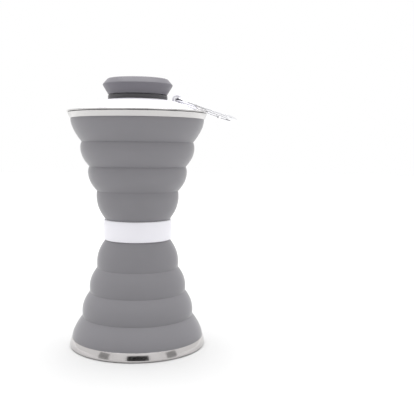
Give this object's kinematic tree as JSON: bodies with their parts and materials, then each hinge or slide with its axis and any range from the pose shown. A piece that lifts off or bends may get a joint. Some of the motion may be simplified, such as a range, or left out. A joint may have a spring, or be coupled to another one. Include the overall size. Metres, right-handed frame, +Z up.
{
  "type": "collapsible travel cup",
  "caption": "Folding silicone travel cup with a waist band, metal rims, a screw lid with a spout and cap, and a snap hook.",
  "frame": {"origin": "middle of the underside, on the surface the cup stands on", "axes": "+Z up along the cup's axis; +X towards the snap hook; -Y is the front"},
  "size_m": [0.1169, 0.096, 0.184],
  "materials": {
    "silicone": "satin food silicone",
    "seal_rubber": "satin",
    "steel": "polished stainless steel",
    "white_plastic": "satin gloss",
    "grey_plastic": "soft touch",
    "liner_plastic": "natural",
    "hook_metal": "bright plated",
    "pin_steel": "dark"
  },
  "bodies": {
    "foot": {"base_plate": "steel", "foot_ring": "steel", "foot_cup": "silicone", "lower_web_1": "silicone"},
    "lower_1": {"lower_step_1": "silicone", "lower_web_2": "silicone"},
    "lower_2": {"lower_step_2": "silicone", "lower_web_3": "silicone"},
    "lower_3": {"lower_step_3": "silicone", "lower_web_4": "silicone"},
    "waist": {"waist_sleeve": "silicone", "waist_band": "white_plastic"},
    "upper_3": {"upper_step_3": "silicone", "upper_web_4": "silicone"},
    "upper_2": {"upper_step_2": "silicone", "upper_web_3": "silicone"},
    "upper_1": {"upper_step_1": "silicone", "upper_web_2": "silicone"},
    "rim": {"rim_wall": "silicone", "upper_web_1": "silicone", "mouth_collar": "white_plastic", "rim_band": "steel"},
    "gasket": {"lid_gasket": "seal_rubber"},
    "lid": {"lid_shell": "white_plastic", "lid_ring": "steel", "neck_ring": "seal_rubber"},
    "seal": {"cap_seal": "seal_rubber"},
    "cap": {"cap_shell": "grey_plastic", "cap_liner": "liner_plastic"},
    "hook": {"hook_body": "hook_metal"},
    "gate": {"hook_gate": "hook_metal", "gate_pin": "pin_steel", "gate_spring": "pin_steel"}
  },
  "joints": [
    {"name": "fold_lower_1", "type": "slide", "parent": "foot", "child": "lower_1", "axis": [0, 0, -1], "range_m": [0, 0.0176], "deforming": ["lower_web_1"]},
    {"name": "fold_lower_2", "type": "slide", "parent": "lower_1", "child": "lower_2", "axis": [0, 0, -1], "range_m": [0, 0.01675], "deforming": ["lower_web_2"]},
    {"name": "fold_lower_3", "type": "slide", "parent": "lower_2", "child": "lower_3", "axis": [0, 0, -1], "range_m": [0, 0.01675], "deforming": ["lower_web_3"]},
    {"name": "fold_lower_4", "type": "slide", "parent": "lower_3", "child": "waist", "axis": [0, 0, -1], "range_m": [0, 0.0174], "deforming": ["lower_web_4"]},
    {"name": "fold_upper_4", "type": "slide", "parent": "waist", "child": "upper_3", "axis": [0, 0, -1], "range_m": [0, 0.0174], "deforming": ["upper_web_4"]},
    {"name": "fold_upper_3", "type": "slide", "parent": "upper_3", "child": "upper_2", "axis": [0, 0, -1], "range_m": [0, 0.01675], "deforming": ["upper_web_3"]},
    {"name": "fold_upper_2", "type": "slide", "parent": "upper_2", "child": "upper_1", "axis": [0, 0, -1], "range_m": [0, 0.01675], "deforming": ["upper_web_2"]},
    {"name": "fold_upper_1", "type": "slide", "parent": "upper_1", "child": "rim", "axis": [0, 0, -1], "range_m": [0, 0.0176], "deforming": ["upper_web_1"]},
    {"name": "lid_rise", "type": "slide", "parent": "rim", "child": "gasket", "axis": [0, 0, 1], "range_m": [0, 0.0045]},
    {"name": "lid_turn", "type": "hinge", "parent": "gasket", "child": "lid", "pos_m": [0, 0, 0.16], "axis": [0, 0, 1], "range_deg": [0, 541]},
    {"name": "cap_rise", "type": "slide", "parent": "lid", "child": "seal", "axis": [0, 0, 1], "range_m": [0, 0.006]},
    {"name": "cap_turn", "type": "hinge", "parent": "seal", "child": "cap", "pos_m": [0, 0, 0.178], "axis": [0, 0, 1], "range_deg": [0, 721]},
    {"name": "hook_swing", "type": "hinge", "parent": "lid", "child": "hook", "pos_m": [0.0269, 0, 0.1701], "axis": [0, 1, 0], "range_deg": [-105, 0]},
    {"name": "gate_open", "type": "hinge", "parent": "hook", "child": "gate", "pos_m": [0.05676, 0.0078, 0.16006], "axis": [0.3186, 0, 0.9479], "range_deg": [0, 30], "stiffness_Nm_per_rad": 0.01, "springref_deg": -20.05}
  ],
  "couplings": [
    {"joint": "fold_lower_2", "follows": "fold_lower_1", "ratio": 0.9517},
    {"joint": "fold_lower_3", "follows": "fold_lower_1", "ratio": 0.9517},
    {"joint": "fold_lower_4", "follows": "fold_lower_1", "ratio": 0.9886},
    {"joint": "fold_upper_4", "follows": "fold_lower_1", "ratio": 0.9886},
    {"joint": "fold_upper_3", "follows": "fold_lower_1", "ratio": 0.9517},
    {"joint": "fold_upper_2", "follows": "fold_lower_1", "ratio": 0.9517},
    {"joint": "fold_upper_1", "follows": "fold_lower_1", "ratio": 1},
    {"joint": "lid_turn", "follows": "lid_rise", "rad_per_m": 2094.4},
    {"joint": "cap_turn", "follows": "cap_rise", "rad_per_m": 2094.4}
  ]
}
